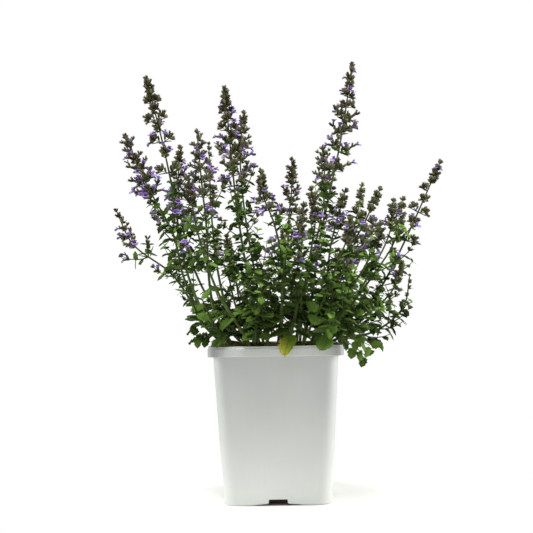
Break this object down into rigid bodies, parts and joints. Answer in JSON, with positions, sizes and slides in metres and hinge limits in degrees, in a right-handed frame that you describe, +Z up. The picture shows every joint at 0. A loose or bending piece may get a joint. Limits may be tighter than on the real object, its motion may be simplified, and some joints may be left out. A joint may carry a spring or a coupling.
{
  "type": "potted catmint plant",
  "caption": "Catmint in bloom in a square plastic nursery pot: square stems with scalloped leaves and whorls of small violet flowers, standing in potting mix.",
  "frame": {"origin": "middle of the pot's flat underside, on the surface that it stands on", "axes": "+Z up, -Y towards the front of the pot, +X towards its right side as seen from the front"},
  "size_m": [0.3979, 0.2865, 0.5181],
  "materials": {
    "pot_plastic": "satin moulded plastic, pale grey",
    "soil": "moist potting mix of peat and bark, with moss",
    "plant": "soft leaves and stems, with violet flowers"
  },
  "bodies": {
    "root": {"pot": "pot_plastic", "soil": "soil", "flowering_stem_arching_right": "plant", "flowering_stem_back_left": "plant", "flowering_stem_back_middle": "plant", "flowering_stem_back_right": "plant", "flowering_stem_brown_right": "plant", "flowering_stem_centre": "plant", "flowering_stem_far_left": "plant", "flowering_stem_far_right": "plant", "flowering_stem_front_centre": "plant", "flowering_stem_front_inner": "plant", "flowering_stem_front_left": "plant", "flowering_stem_front_middle": "plant", "flowering_stem_front_right": "plant", "flowering_stem_green_left": "plant", "flowering_stem_lean_right": "plant", "flowering_stem_left": "plant", "flowering_stem_left_behind": "plant", "flowering_stem_middle_behind": "plant", "flowering_stem_middle_front": "plant", "flowering_stem_right_behind": "plant", "flowering_stem_right_lower": "plant", "flowering_stem_right_middle": "plant", "flowering_stem_right_short": "plant", "flowering_stem_right_upper": "plant", "flowering_stem_slim_left": "plant", "flowering_stem_tall_left": "plant", "flowering_stem_tall_middle": "plant", "flowering_stem_tall_right": "plant", "leafy_stem_back": "plant", "leafy_stem_back_left": "plant", "leafy_stem_front": "plant", "leafy_stem_front_left": "plant", "leafy_stem_front_middle": "plant", "leafy_stem_front_right": "plant", "leafy_stem_inner_back": "plant", "leafy_stem_inner_front": "plant", "leafy_stem_inner_left": "plant", "leafy_stem_inner_middle": "plant", "leafy_stem_inner_right": "plant", "leafy_stem_left": "plant", "leafy_stem_left_back": "plant", "leafy_stem_right": "plant", "leafy_stem_right_back": "plant"}
  },
  "joints": []
}
